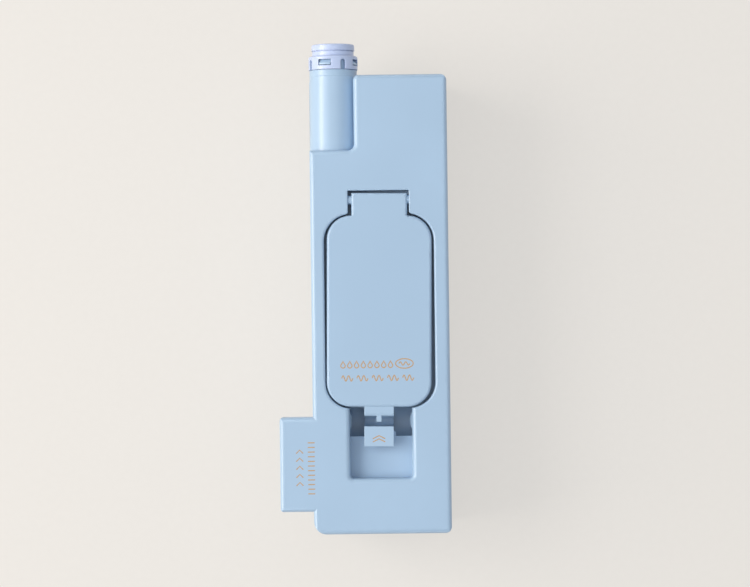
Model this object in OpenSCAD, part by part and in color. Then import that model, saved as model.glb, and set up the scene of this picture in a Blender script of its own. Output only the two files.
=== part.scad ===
// Detergent dispenser for a washing machine: a welded two-shell tank with a hinged fill lid,
// a clip-on valve cap at the far end and a lift tab on its left side.
// Millimetres. The origin is the centre of the flat base. +X is right, +Y points to the valve end, +Z is up.

/* [Body] */
// Width between the two long side walls
body_w = 58; // [57:0.5:64]
// Length from the thumb end to the valve end, without the valve
body_l = 193.3; // [193:0.1:215]
// Height from the base to the top plane
body_h = 66; // [64:0.5:80]
// Thickness of the side walls of both shells
wall = 2; // [1.6:0.1:2.4]
// Thickness of the cover's top plate
top_t = 2.2; // [1.8:0.1:2.6]
// Thickness of the tank's floor
floor_t = 2.4; // [1.8:0.1:3.2]
// Radius of the rounded edges round the top plane and the base
edge_r = 2; // [1:0.1:2.4]
// Plan radius of the three plain corners
corner_r = 3; // [2.6:0.1:5]
// Plan radius of the corner beside the lift tab
tab_corner_r = 5.8; // [3:0.1:9]
// Height of the weld line where the cover meets the tank
seam_h = 36; // [28:0.5:38]
// Height of the lip that stands inside the weld line
lip_h = 2.5; // [1.5:0.1:4]
// Clearance round that lip
lip_gap = 0.1; // [0.05:0.05:0.2]
// Depth and height of the groove that marks the weld line
seam_groove = 0.4; // [0.2:0.05:0.6]

/* [Neck] */
// Radius of the half-round neck
neck_r = 10.15; // [9.8:0.05:10.5]
// How far the neck's crest lies under the top plane
neck_drop = 2.85; // [2.4:0.05:4]
// How far the neck's side lies inside the side wall
neck_inset = 0.1; // [0.05:0.05:0.3]
// Length of the notch that uncovers the neck
notch_l = 31.65; // [30:0.05:34]
// Gap from the neck's axis to the notch's long wall
notch_side = 8.45; // [8:0.05:9]
// Radius of the notch's inner corner
notch_r = 2.5; // [1.5:0.1:4]
// Plan radius of the corner where the notch meets the end wall
notch_end_r = 2.2; // [2.1:0.1:3]
// How far the round neck stands out of the end wall
neck_stub = 2.65; // [1:0.05:3]
// Depth that the neck reaches into the tank, measured from the end wall
neck_depth = 16.25; // [15:0.25:18]

/* [Valve cap] */
// Length of the cap's skirt
skirt_l = 5.85; // [5.5:0.05:8]
// Outer radius of the skirt
skirt_r = 10.4; // [10.3:0.05:11]
// Thickness of the skirt
skirt_t = 1; // [0.8:0.05:1.1]
// Gap between the skirt and the neck's shoulder
skirt_gap = 0.15; // [0.1:0.05:0.4]
// Length of the spigot beyond the skirt
spigot_l = 4.9; // [4.6:0.1:9]
// Outer radius of the spigot
spigot_r = 9.1; // [8.8:0.05:9.3]
// Radius of the socket inside the spigot
socket_r = 6.5; // [6:0.1:7]
// Number of fingers that the skirt is cut into
finger_n = 4; // [3:1:5]
// Turn of the first finger from straight up, in degrees
finger_turn = -20; // [-40:1:0]
// Width of the slots between the fingers
slot_w = 2.2; // [1.2:0.1:2.4]
// Length of those slots
slot_l = 4.25; // [4:0.05:5]
// Width of the window in each finger
window_w = 5.6; // [4.6:0.1:6.4]
// Height of that window
window_h = 2.6; // [2.2:0.1:2.8]
// Clearance between a snap lug and the edges of its window
lug_gap = 0.3; // [0.2:0.05:0.5]

/* [Valve] */
// Radius of the valve chamber in the neck
chamber_r = 7; // [6.9:0.05:7.2]
// Radius of the flow passage through the seat
passage_r = 4.6; // [4.2:0.1:4.8]
// Travel of the poppet
poppet_travel = 3.5; // [2:0.1:4]
// Radius of the poppet's head
poppet_r = 5.9; // [5.4:0.1:6.2]
// Radius of the poppet's guide stem
stem_r = 2; // [1.6:0.1:2.2]
// Radial clearance of that stem in its guide
stem_gap = 0.05; // [0.03:0.01:0.08]
// Radius of the spring's wire
spring_wire_r = 0.35; // [0.25:0.05:0.45]
// Number of turns of the spring
spring_turns = 5; // [4:0.5:6]

/* [Fill lid] */
// Sideways place of the lid's opening and the finger well from the body's centre line
opening_x = -0.3; // [-0.6:0.1:0.6]
// Sideways place of the lid's hinge tab from the body's centre line
lid_x = 0.1; // [-0.3:0.05:0.15]
// Turn of the lid in its opening, which the play of the moulded hinge leaves, in degrees
lid_skew = 0.75; // [0:0.05:0.75]
// Width of the lid
lid_w = 44.1; // [42:0.1:45]
// Place of the lid's latch edge along the body
lid_y0 = -43.1; // [-44:0.1:-41]
// Place of the lid's shoulders along the body
lid_y1 = 37.35; // [36.5:0.05:37.4]
// Radius of the lid's corners
lid_r = 10.2; // [9:0.1:10.8]
// Radius of the opening's corners at the latch edge
opening_r = 10.9; // [10.3:0.1:11.2]
// Radius of the opening's corners at the shoulders
shoulder_r = 11.5; // [10.8:0.1:11.6]
// Thickness of the lid's plate
lid_t = 2; // [1.6:0.1:2.2]
// Radius of the rounded edge round the lid's top
lid_edge_r = 1.2; // [0.3:0.05:1.3]
// Radius of the rounded edge round the lid's opening
opening_edge_r = 1; // [0.3:0.05:1.1]
// Radius of the rounded edge round the slot for the hinge tab
slot_edge_r = 0.5; // [0.2:0.05:0.5]
// Gap between the lid and its opening along the sides
lid_gap = 1.05; // [0.6:0.05:1.2]
// Gap between the lid and its opening at the latch edge
lid_end_gap = 0.6; // [0.4:0.05:0.8]
// Gap between the lid and its opening at the shoulders
shoulder_gap = 0.75; // [0.75:0.05:1]
// Width of the hinge tab
hinge_w = 23.5; // [20:0.5:26]
// Place of the hinge tab's rear edge along the body
hinge_y1 = 46.8; // [46:0.1:47.2]
// Gap round the hinge tab
hinge_gap = 1.1; // [0.9:0.05:1.3]
// Place of the hinge axis along the body
hinge_y = 44; // [43.6:0.1:44.2]
// Depth of the hinge axis under the top plane
hinge_drop = 2.6; // [2.5:0.05:2.8]
// Radius of the hinge stubs
hinge_r = 1.9; // [1.6:0.05:2]
// Radial clearance of the stubs in their bores
hinge_clear = 0.06; // [0.03:0.01:0.09]
// Depth of those bores
hinge_bore_l = 2.8; // [2.4:0.1:3.4]
// Depth of the recess floor under the top plane
recess_d = 8; // [7:0.1:9]
// Thickness of the recess and well walls
recess_t = 1.8; // [1.4:0.1:2]

/* [Fill mouth] */
// Width of the mouth
mouth_w = 28; // [24:0.5:30]
// Length of the mouth
mouth_l = 50; // [40:1:56]
// Radius of the mouth's corners
mouth_r = 7; // [4:0.5:9]
// Thickness of the collar round the mouth
collar_t = 1.6; // [1.2:0.1:2]
// Height of the collar above the recess floor
collar_h = 3.4; // [2.5:0.1:3.8]
// Width of the lid gasket
gasket_w = 3.2; // [2.6:0.1:3.6]
// Clearance between the gasket and the closed mouth's collar
gasket_gap = 0.15; // [0.1:0.05:0.3]

/* [Latch] */
// Width of the latch and its thumb tab
latch_w = 12.4; // [10:0.2:13]
// Thickness of the latch's strap
latch_t = 1.2; // [1:0.1:1.4]
// Place of the rear leg's outer face along the body
leg_y1 = -45.95; // [-46.4:0.05:-45.6]
// Place of the front leg's outer face along the body
leg_y0 = -52.6; // [-52.8:0.05:-52]
// Place of the thumb tab's free edge along the body
thumb_y0 = -59.8; // [-63:0.1:-58]
// Depth of the strap's top under the top plane
strap_drop = 0.7; // [0.5:0.05:0.9]
// Depth of the thumb tab's top under the top plane
thumb_drop = 1.2; // [0.9:0.05:1.5]
// Depth of the latch loop's lowest point under the top plane
loop_d = 16.2; // [15:0.1:17]
// Width of the stop rib inside the loop
stop_w = 2.1; // [1.6:0.1:3]
// Length of that rib
stop_l = 2.3; // [1.8:0.1:2.6]

/* [Finger well] */
// Width of the well's floor
well_w = 26.2; // [24:0.2:28]
// Place of the well's end wall along the body
well_y0 = -73.2; // [-80:0.1:-70]
// Depth of the well's floor under the top plane
well_d = 8.5; // [7.5:0.1:10]
// Radius of the well's two inner corners
well_r = 1.5; // [1:0.1:3]
// Place of the step between the well and the latch pocket
step_y = -55.8; // [-56.4:0.1:-55]
// Depth of the latch pocket's lowest point under the top plane
pocket_d = 18.5; // [18:0.1:20]
// How far the pocket's curved bottom sinks below its ends
pocket_sag = 2.5; // [1.5:0.1:3.5]
// How far the pocket's side walls bulge inwards
pocket_bulge = 0.7; // [0.4:0.05:1]
// How far the pocket undercuts the step for the catch nib
catch_under = 2; // [1.5:0.1:2.5]
// Width of the catch tongue on the step
catch_w = 12.6; // [10:0.2:16]
// How far the tongue stands out of the step
catch_l = 2.1; // [1.6:0.1:2.4]

/* [Lift tab] */
// How far the tab stands out of the side wall
tab_w = 14; // [10:0.5:20]
// Place of the tab's near edge along the body
tab_y0 = -87; // [-89:0.5:-80]
// Place of the tab's far edge along the body
tab_y1 = -47.2; // [-60:0.1:-40]
// Thickness of the tab's plate
tab_t = 2.4; // [2:0.1:3]
// Depth of the rim round the tab
tab_rim_d = 8; // [6:0.5:12]
// Thickness of that rim
tab_rim_t = 2; // [1.5:0.1:2.5]
// Plan radius of the tab's free corners
tab_r = 1.5; // [1:0.1:3]

/* [Pickup] */
// Distance of the pickup tube from the end wall
pickup_in = 22.75; // [22:0.25:27]
// Outer radius of the pickup tube
tube_r = 4.8; // [4.5:0.1:5.2]
// Wall thickness of the pickup tube
tube_t = 1.1; // [0.9:0.1:1.2]
// Outer radius of the strainer
strainer_r = 6.8; // [6.4:0.1:7]
// Height of the strainer
strainer_h = 10; // [8:0.5:14]
// Number of slots in the strainer
strainer_n = 12; // [8:1:14]
// Width of those slots
strainer_slot = 1.3; // [0.9:0.1:1.5]
// Radius of the vent valve's umbrella
vent_r = 4; // [3.6:0.1:4.4]
// Place of the vent valve along the body
vent_y = 32; // [31:0.1:32.5]

/* [Hidden] */
$fn = 64;
eps = 0.5;

neck_x = -(body_w / 2 - neck_inset - neck_r);
neck_z = body_h - neck_drop - neck_r;
notch_x = neck_x + notch_side;
notch_y = body_l / 2 - notch_l;

hinge_z = body_h - hinge_drop;
barrel_drop = 0.1;
barrel_in = 0.8;
barrel_r = hinge_drop - barrel_drop;
hinge_boss_wall = 1.4;
hinge_boss_cap = 0.8;
hinge_stub_gap = 0.75;
hinge_boss_w = 2 * (hinge_r + hinge_clear + hinge_boss_wall);
hinge_bore_end = hinge_w / 2 + hinge_gap + hinge_bore_l;
hinge_boss_end = hinge_bore_end + hinge_boss_cap;
hinge_stub_end = hinge_bore_end - hinge_stub_gap;
recess_z = body_h - recess_d;
well_z = body_h - well_d;
pocket_z = body_h - pocket_d;
collar_z = recess_z + collar_h;
lid_z = body_h - lid_t;

neck_short = 1.1;
mouth_v = neck_stub + skirt_l - neck_short;
cap_seal_t = 1;
cap_web_v = mouth_v + cap_seal_t;
cap_web_t = 1.6;
socket_v = cap_web_v + cap_web_t;
skirt_v = neck_stub + skirt_gap;
spigot_v = skirt_v + skirt_l;
cap_end_v = spigot_v + spigot_l;
seat_depth = 2.45;
seat_v = cap_web_v - seat_depth;
plug_gap = 0.3;
plug_r = chamber_r - plug_gap;
skirt_chamfer_l = 0.5;
skirt_chamfer = 0.6;
spigot_chamfer = 0.4;
waist_step = 0.3;
groove_out = 2.1;
groove_w = 0.3;
groove_d = 0.25;
neck_wall = 1.9;
mouth_r_out = chamber_r + neck_wall;
neck_fit = 0.1;
spoke_w = 1.2;
spoke_turn = 30;
lug_drop = 0.2;
lug_face = 0.7;
lug_slope = 0.3;
poppet_seal_t = 1.5;
seal_inset = 0.2;
seal_stretch = 0.05;
seat_gap = 0.1;
head_v = seat_v - seat_gap - poppet_seal_t;
head_t = 2.4;
boss_gap = 0.65;
boss_r = passage_r - boss_gap;
nose_r = stem_r + 0.3;
nose_gap = 0.5;
stem_chamfer = 0.4;
guide_t = 2.5;
spring_room = 1.1;
spring_in = 1;
spring_rest = 0.05;
spring_l = 2 * spring_wire_r * spring_turns + poppet_travel + spring_room;
chamber_v = head_v - head_t - spring_l;
guide_v = chamber_v - guide_t;
guide_ring = 1.2;
elbow_socket_r = chamber_r - 0.4;
elbow_fit = 0.08;
elbow_r = 5.6;
elbow_bore_r = 4.1;
elbow_flange_t = 1.8;
elbow_flange_in = 0.65;
elbow_flange_r = neck_r - wall - elbow_flange_in;
elbow_wall = 1.5;
elbow_end_gap = 0.3;
oring_r = 0.68;
oring_in = 3.2;
oring_v = guide_v - oring_in;
oring_squeeze = 0.03;
oring_groove_gap = 0.2;
tube_grip = 0.05;
collar_step = 1.1;
tube_stop_gap = 0.2;
barb_r = tube_r - tube_t - tube_grip;
barb_bore_r = 2.4;
barb_reach = 16;
barb_shoulder = 8.2;
barb_end_z = neck_z - barb_reach;
tube_top_z = neck_z - barb_shoulder;
pickup_y = body_l / 2 - pickup_in;
tube_foot = 5;
tube_foot_z = floor_t + tube_foot;
sump_gap = 0.3;
sump_r = strainer_r + sump_gap;
sump_h = 3;
sump_wall = 1.7;
sump_slot = 3;

loop_out = (leg_y1 - leg_y0) / 2;
loop_y = (leg_y1 + leg_y0) / 2;
loop_z = body_h - loop_d + loop_out;
strap_bend = 1.4;
strap_lap = 1;
pocket_corner = 1;
stop_h = 7.7;
stop_foot = 8;
ledge_t = 2;
nib_gap = 0.45;
nib_drop = 0.25;
nib_face = 0.8;
nib_h = 2.2;
pad_l = 8;
tab_inner_r = 0.4;
lip_play = 0.1;

lid_rim_t = 1.4;
lid_rim_d = 2.5;
channel_t = 1.1;
channel_d = 1.7;
channel_gap = 0.1;
rear_r = 0.8;
shoulder_corner = 0.8;
tongue_r = 0.8;

vent_hole_r = 1.5;
vent_hole_ring = 2.75;
vent_air_r = 0.6;

part_blue = [0.675, 0.78, 0.882];
part_lavender = [0.74, 0.79, 0.9];
part_rubber = [0.25, 0.27, 0.3];
part_white = [0.93, 0.94, 0.94];
part_steel = [0.75, 0.77, 0.8];

// Rectangle from x0, y0 to x1, y1 with its own radius at each corner, from the near left one anticlockwise
module round_rect(x0, x1, y0, y1, r) {
    polygon([
        [x0 + r[0], y0], [x1 - r[1], y0], [x1, y0 + r[1]], [x1, y1 - r[2]],
        [x1 - r[2], y1], [x0 + r[3], y1], [x0, y1 - r[3]], [x0, y0 + r[0]]
    ]);
    centres = [[x0 + r[0], y0 + r[0]], [x1 - r[1], y0 + r[1]], [x1 - r[2], y1 - r[2]], [x0 + r[3], y1 - r[3]]];
    for (i = [0:3]) {
        if (r[i] > 0) {
            translate(centres[i]) circle(r[i]);
        }
    }
}

// Extrudes an outline drawn in Y and Z along X
module along_x(x0, x1) {
    translate([x0, 0, 0]) rotate([90, 0, 90]) linear_extrude(x1 - x0) children();
}

// Extrudes an outline drawn in X and Z along Y
module along_y(y0, y1) {
    translate([0, y1, 0]) rotate([90, 0, 0]) linear_extrude(y1 - y0) children();
}

// Extrudes an outline drawn in X and Y along Z
module along_z(z0, z1) {
    translate([0, 0, z0]) linear_extrude(z1 - z0) children();
}

// Puts shapes on the valve's axis, where local Z is the distance out of the end wall and local -Y is up
module on_valve_axis() {
    translate([neck_x, body_l / 2, neck_z]) rotate([-90, 0, 0]) children();
}

// A ring on the valve's axis between two distances from the end wall
module valve_ring(v0, v1, r_out, r_in) {
    translate([0, 0, v0]) linear_extrude(v1 - v0) difference() {
        circle(r_out);
        circle(r_in);
    }
}

// Places a copy at the middle of each finger of the cap
module at_fingers(offset_turn = 0) {
    for (i = [0:finger_n - 1]) {
        rotate([0, 0, finger_turn + offset_turn - 90 + i * 360 / finger_n]) children();
    }
}

// Plan outline of the shells, drawn in from the outside by inset
module body_plan(inset) {
    r = corner_r - inset;
    round_rect(-body_w / 2 + inset, body_w / 2 - inset, -body_l / 2 + inset, body_l / 2 - inset,
        [tab_corner_r - inset, r, r, r]);
}

// Solid block with the body's plan, and rounded edges at its top or its base
module body_block(z0, z1, top_r, base_r) {
    radii = [base_r, base_r, top_r, top_r];
    intersection() {
        along_z(z0, z1) body_plan(0);
        along_y(-body_l, body_l) round_rect(-body_w / 2, body_w / 2, z0, z1, radii);
        along_x(-body_w, body_w) round_rect(-body_l / 2, body_l / 2, z0, z1, radii);
    }
}

// Section of the cut that rounds an edge: a wall at 0 with its material on the right, under a top plane at 0
module edge_section(r = edge_r) {
    difference() {
        translate([-eps, -r]) square([r + eps, r + eps]);
        translate([r, -r]) circle(r);
    }
}

// Cut that rounds the top edge along an arc about x and y, with the material outside it or inside it
module arc_edge_cut(x, y, arc_r, start, r, outside = true) {
    translate([x, y, body_h]) rotate([0, 0, start]) rotate_extrude(angle = 90)
        translate([arc_r, 0]) mirror([outside ? 0 : 1, 0]) edge_section(r);
}

module neck_notch_cut() {
    corner_x = notch_x - notch_r;
    corner_y = notch_y + notch_r;
    end_x = notch_x + notch_end_r;
    end_y = body_l / 2 - notch_end_r;
    difference() {
        along_z(neck_z, body_h + eps) {
            round_rect(-body_w, notch_x, notch_y, body_l, [0, notch_r, 0, 0]);
            difference() {
                translate([notch_x - eps, end_y]) square([notch_end_r + eps, notch_end_r + eps]);
                translate([end_x, end_y]) circle(notch_end_r);
            }
        }
        on_valve_axis() translate([0, 0, -body_l]) cylinder(r = neck_r, h = 2 * body_l);
    }
    along_y(corner_y, end_y) translate([notch_x, body_h]) edge_section();
    along_x(-body_w, corner_x) translate([notch_y, body_h]) mirror([1, 0]) edge_section();
    arc_edge_cut(corner_x, corner_y, notch_r, -90, edge_r);
    arc_edge_cut(end_x, end_y, notch_end_r, 90, edge_r, false);
}

// Space inside the cover: the plan less its walls, under the top plate and the half-round neck
module cover_cavity() {
    difference() {
        along_z(seam_h - eps, body_h - top_t) body_plan(wall);
        along_z(neck_z, body_h)
            round_rect(-body_w, notch_x + wall, notch_y - wall, body_l, [0, notch_r + wall, 0, 0]);
    }
    on_valve_axis() translate([0, 0, -notch_l - wall - eps])
        cylinder(r = neck_r - wall, h = notch_l + eps);
}

// Outline of the lid's opening with the slot for its hinge tab, grown outwards
module opening_outline(grow) {
    x = lid_w / 2 + lid_gap + grow;
    y1 = lid_y1 + shoulder_gap + grow;
    near_r = opening_r + grow;
    far_r = shoulder_r + grow;
    slot_x = hinge_w / 2 + hinge_gap + grow;
    translate([opening_x, 0]) {
        round_rect(-x, x, lid_y0 - lid_end_gap - grow, y1, [near_r, near_r, far_r, far_r]);
        round_rect(-slot_x, slot_x, y1 - far_r, hinge_y1 + hinge_gap + grow, [0, 0, 0, 0]);
    }
}

// Rounds the two corners where the opening's shoulders meet the slot
module shoulder_corner_cut() {
    r = shoulder_corner;
    slot_x = hinge_w / 2 + hinge_gap;
    y1 = lid_y1 + shoulder_gap;
    for (side = [-1, 1]) {
        translate([opening_x + side * (slot_x + r), y1]) difference() {
            translate([side > 0 ? -r - eps : 0, -eps]) square([r + eps, r + eps]);
            translate([0, r]) circle(r);
        }
    }
}

// Puts shapes on the hinge axis, with local Z along it and 0 at the middle of the lid's opening
module hinge_axis(x = opening_x) {
    translate([x, hinge_y, hinge_z]) rotate([0, 90, 0]) children();
}

// Turns the lid, drawn about the body's Y axis, to where it lies in its opening
module lid_place() {
    translate([lid_x, hinge_y, 0]) rotate([0, 0, -lid_skew]) translate([0, -hinge_y, 0]) children();
}

// Outline of the fill mouth, grown outwards
module mouth_outline(grow) {
    x = mouth_w / 2 + grow;
    y = mouth_l / 2 + grow;
    r = mouth_r + grow;
    round_rect(-x, x, -y, y, [r, r, r, r]);
}

module well_outline(grow, y0, y1) {
    x = well_w / 2 + grow;
    r = well_r + grow;
    translate([opening_x, 0]) round_rect(-x, x, y0 - grow, y1, [r, r, 0, 0]);
}

// Latch pocket: a trough with a curved bottom, undercut below the step
module pocket_cut() {
    y0 = step_y - catch_under;
    mid = (y0 + lid_y0) / 2;
    half = (lid_y0 - y0) / 2;
    arc_r = (half * half + pocket_sag * pocket_sag) / (2 * pocket_sag);
    x = well_w / 2;
    along_x(opening_x - x, opening_x + x) difference() {
        translate([y0, pocket_z]) square([2 * half, well_z - ledge_t - pocket_z]);
        difference() {
            translate([y0 - eps, pocket_z - eps]) square([2 * half + 2 * eps, pocket_sag + eps]);
            translate([mid, pocket_z + arc_r]) circle(arc_r);
        }
    }
    along_x(opening_x - x, opening_x + x) polygon([
        [step_y, well_z - ledge_t - eps], [lid_y0 - eps, well_z - ledge_t - eps],
        [lid_y0 - eps, body_h], [step_y, body_h]
    ]);
}

// Low pads on the pocket's side walls that guide the latch loop
module pocket_pads() {
    r = (pad_l * pad_l / 4 + pocket_bulge * pocket_bulge) / (2 * pocket_bulge);
    for (side = [-1, 1]) {
        intersection() {
            translate([opening_x + side * (well_w / 2 + r - pocket_bulge), loop_y, pocket_z])
                cylinder(r = r, h = well_z - pocket_z, $fn = 128);
            translate([opening_x + side * well_w / 2 - recess_t / 2, loop_y - pad_l, pocket_z])
                cube([recess_t, 2 * pad_l, well_z - pocket_z]);
        }
    }
}

module catch_tongue() {
    along_z(well_z - ledge_t, well_z) translate([opening_x, 0])
        round_rect(-catch_w / 2, catch_w / 2, step_y - eps, step_y + catch_l, [0, 0, tongue_r, tongue_r]);
}

// Rounds the long top edges and the end edge of the finger well
module well_edge_cut() {
    x = well_w / 2;
    y = well_y0 + well_r;
    along_y(y, lid_y0 - lid_end_gap) translate([opening_x + x, body_h]) edge_section();
    along_y(y, lid_y0 - lid_end_gap) translate([opening_x - x, body_h]) mirror([1, 0]) edge_section();
    along_x(opening_x - x + well_r, opening_x + x - well_r) translate([well_y0, body_h]) mirror([1, 0])
        edge_section();
    for (side = [-1, 1]) {
        arc_edge_cut(opening_x + side * (x - well_r), y, well_r, side < 0 ? 180 : 270, edge_r);
    }
}

// Rounds the top edge of the lid's opening and its slot
module opening_edge_cut() {
    r = opening_edge_r;
    x = lid_w / 2 + lid_gap;
    y0 = lid_y0 - lid_end_gap;
    y1 = lid_y1 + shoulder_gap;
    slot_x = hinge_w / 2 + hinge_gap;
    slot_y = hinge_y1 + hinge_gap;
    corner = shoulder_corner;
    for (side = [-1, 1]) {
        flip = side < 0 ? 1 : 0;
        along_y(y0 + opening_r, y1 - shoulder_r) translate([opening_x + side * x, body_h])
            mirror([flip, 0]) edge_section(r);
        arc_edge_cut(opening_x + side * (x - opening_r), y0 + opening_r, opening_r, side < 0 ? 180 : 270, r);
        arc_edge_cut(opening_x + side * (x - shoulder_r), y1 - shoulder_r, shoulder_r, side < 0 ? 90 : 0, r);
        arc_edge_cut(opening_x + side * (slot_x + corner), y1 + corner, corner, side < 0 ? 270 : 180,
            slot_edge_r, false);
        along_y(y1 + corner, slot_y) translate([opening_x + side * slot_x, body_h]) mirror([flip, 0])
            edge_section(slot_edge_r);
    }
    along_x(opening_x - slot_x, opening_x + slot_x) translate([slot_y, body_h]) edge_section(slot_edge_r);
}

// Rounds the top edge of the lid and of its hinge tab
module lid_edge_cut() {
    r = lid_edge_r;
    x = lid_w / 2;
    inner = lid_r;
    for (side = [-1, 1]) {
        flip = side < 0 ? 0 : 1;
        along_y(lid_y0 + inner, lid_y1 - inner) translate([side * x, body_h]) mirror([flip, 0]) edge_section(r);
        arc_edge_cut(side * (x - inner), lid_y0 + inner, inner, side < 0 ? 180 : 270, r, false);
        arc_edge_cut(side * (x - inner), lid_y1 - inner, inner, side < 0 ? 90 : 0, r, false);
        along_y(lid_y1, hinge_y1 + eps) translate([side * hinge_w / 2, body_h]) mirror([flip, 0]) edge_section(r);
    }
    along_x(inner - x, x - inner) translate([lid_y0, body_h]) edge_section(r);
}

// The neck's round part: a tube with the valve chamber, the stem guide and the socket for the elbow
module neck_tube() {
    on_valve_axis() {
        valve_ring(-neck_depth, neck_stub, neck_r - neck_fit, elbow_socket_r);
        valve_ring(neck_stub - eps, mouth_v, mouth_r_out, chamber_r);
        valve_ring(guide_v, chamber_v, chamber_r + eps, passage_r);
        valve_ring(guide_v, chamber_v, stem_r + stem_gap + guide_ring, stem_r + stem_gap);
        for (turn = [0:120:240]) {
            rotate([0, 0, turn + spoke_turn])
                translate([stem_r + stem_gap + guide_ring / 2, -spoke_w / 2, guide_v])
                cube([passage_r - stem_r, spoke_w, guide_t]);
        }
    }
}

// Room inside the neck's tube, so that no shell wall crosses it
module neck_bores() {
    on_valve_axis() {
        translate([0, 0, chamber_v]) cylinder(r = chamber_r, h = mouth_v - chamber_v + eps);
        translate([0, 0, -neck_depth - eps]) cylinder(r = elbow_socket_r, h = guide_v + neck_depth + eps);
    }
}

// Snap lugs that stand in the windows of the cap, with a slope on the mouth's side
module neck_lugs() {
    w = window_w - 2 * lug_gap;
    v0 = window_v() + lug_gap;
    v1 = v0 + window_h - 2 * lug_gap;
    on_valve_axis() intersection() {
        rotate_extrude() polygon([
            [mouth_r_out - eps, v0], [skirt_r - lug_drop, v0], [skirt_r - lug_drop, v0 + lug_face],
            [mouth_r_out + lug_slope, v1], [mouth_r_out - eps, v1]
        ]);
        at_fingers() translate([0, -w / 2, v0]) cube([skirt_r, w, v1 - v0]);
    }
}

// Distance of the windows' near edge from the end wall
function window_v() = skirt_v + (slot_l - window_h);

module lift_tab() {
    x1 = -body_w / 2 + edge_r;
    x0 = -body_w / 2 - tab_w;
    difference() {
        intersection() {
            along_z(body_h - tab_rim_d, body_h) round_rect(x0, x1, tab_y0, tab_y1, [tab_r, 0, 0, tab_r]);
            along_y(tab_y0 - eps, tab_y1 + eps)
                round_rect(x0, x1, body_h - tab_rim_d, body_h, [0, 0, 0, edge_r]);
            along_x(x0 - eps, x1 + eps)
                round_rect(tab_y0, tab_y1, body_h - tab_rim_d, body_h, [0, 0, edge_r, edge_r]);
        }
        along_z(body_h - tab_rim_d - eps, body_h - tab_t)
            round_rect(x0 + tab_rim_t, x1 + eps, tab_y0 + tab_rim_t, tab_y1 - tab_rim_t,
                [tab_inner_r, 0, 0, tab_inner_r]);
    }
}

module vent_holes() {
    translate([opening_x, vent_y, recess_z - recess_t - eps]) {
        cylinder(r = vent_hole_r, h = recess_t + 2 * eps);
        for (turn = [0:120:240]) {
            rotate([0, 0, turn]) translate([vent_hole_ring, 0, 0])
                cylinder(r = vent_air_r, h = recess_t + 2 * eps);
        }
    }
}

module tank() {
    lip_t = wall / 2 - lip_gap / 2;
    color(part_blue) {
        difference() {
            union() {
                body_block(0, seam_h, 0, edge_r);
                along_z(seam_h - eps, seam_h + lip_h) body_plan(wall - lip_t);
            }
            along_z(floor_t, seam_h + lip_h + eps) body_plan(wall);
            along_z(seam_h - seam_groove, seam_h) difference() {
                body_plan(-seam_groove);
                body_plan(seam_groove);
            }
        }
        difference() {
            intersection() {
                translate([neck_x, pickup_y, floor_t - eps]) cylinder(r = sump_r + sump_wall, h = sump_h + eps);
                along_z(0, seam_h) body_plan(wall / 2);
            }
            translate([neck_x, pickup_y, floor_t]) cylinder(r = sump_r, h = sump_h + eps);
            for (turn = [45, 135]) {
                translate([neck_x, pickup_y, floor_t + sump_h / 2]) rotate([0, 0, turn])
                    cube([4 * sump_r, sump_slot, sump_h + 0.01], center = true);
            }
        }
    }
}

module top_cover() {
    rebate = wall / 2 + lip_gap / 2;
    shell = recess_t;
    color(part_blue) difference() {
        union() {
            difference() {
                body_block(seam_h, body_h, edge_r, 0);
                neck_notch_cut();
                cover_cavity();
                along_z(seam_h - eps, seam_h + lip_h + lip_play) body_plan(wall - rebate);
            }
            along_z(recess_z - shell, body_h - eps) opening_outline(shell);
            along_z(well_z - shell, body_h - edge_r) well_outline(shell, well_y0, lid_y0);
            along_z(pocket_z - shell, well_z) translate([opening_x, 0])
                round_rect(-well_w / 2 - shell, well_w / 2 + shell, step_y - catch_under - shell,
                    lid_y0 + shell, [for (i = [0:3]) pocket_corner]);
            along_x(opening_x - hinge_boss_end, opening_x + hinge_boss_end)
                translate([hinge_y - hinge_boss_w / 2, hinge_z - hinge_boss_w / 2])
                    square([hinge_boss_w, hinge_boss_w / 2 + hinge_drop - eps]);
            neck_tube();
            neck_lugs();
            lift_tab();
        }
        neck_bores();
        along_z(recess_z, body_h + eps) {
            opening_outline(0);
            shoulder_corner_cut();
        }
        along_z(well_z, body_h + eps) well_outline(0, well_y0, lid_y0);
        pocket_cut();
        well_edge_cut();
        opening_edge_cut();
        along_z(recess_z - shell - eps, body_h) translate([opening_x, 0]) mouth_outline(0);
        hinge_axis() cylinder(r = hinge_r + hinge_clear, h = 2 * hinge_bore_end, center = true);
        vent_holes();
    }
    color(part_blue) {
        along_z(recess_z - shell, collar_z) translate([opening_x, 0]) difference() {
            mouth_outline(collar_t);
            mouth_outline(0);
        }
        pocket_pads();
        catch_tongue();
    }
}

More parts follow.
